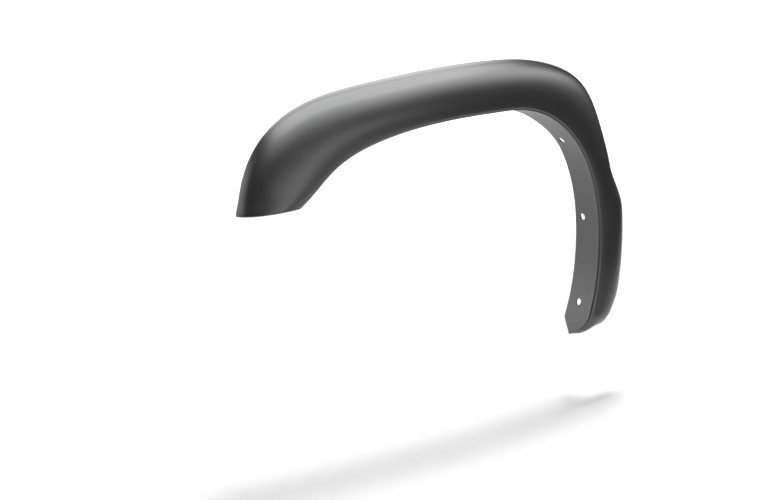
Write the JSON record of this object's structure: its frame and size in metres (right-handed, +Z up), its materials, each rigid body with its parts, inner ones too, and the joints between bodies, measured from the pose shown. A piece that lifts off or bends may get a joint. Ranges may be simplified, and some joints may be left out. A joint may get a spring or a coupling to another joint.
{
  "type": "wheel arch trim",
  "caption": "Moulded wheel arch trim: a bulging outer blade swept round the wheel opening, with a return flange and a row of fixing holes.",
  "frame": {"origin": "centre of the fixing hole nearest the crown of the arch, half-way through the flange wall", "axes": "+X along the vehicle towards its rear, +Y inboard towards the vehicle, +Z up"},
  "size_m": [1.0852, 0.1598, 0.7205],
  "materials": {
    "moulding": "fine-grained matte black moulding"
  },
  "bodies": {
    "root": {"arch_trim": "moulding"}
  },
  "joints": []
}
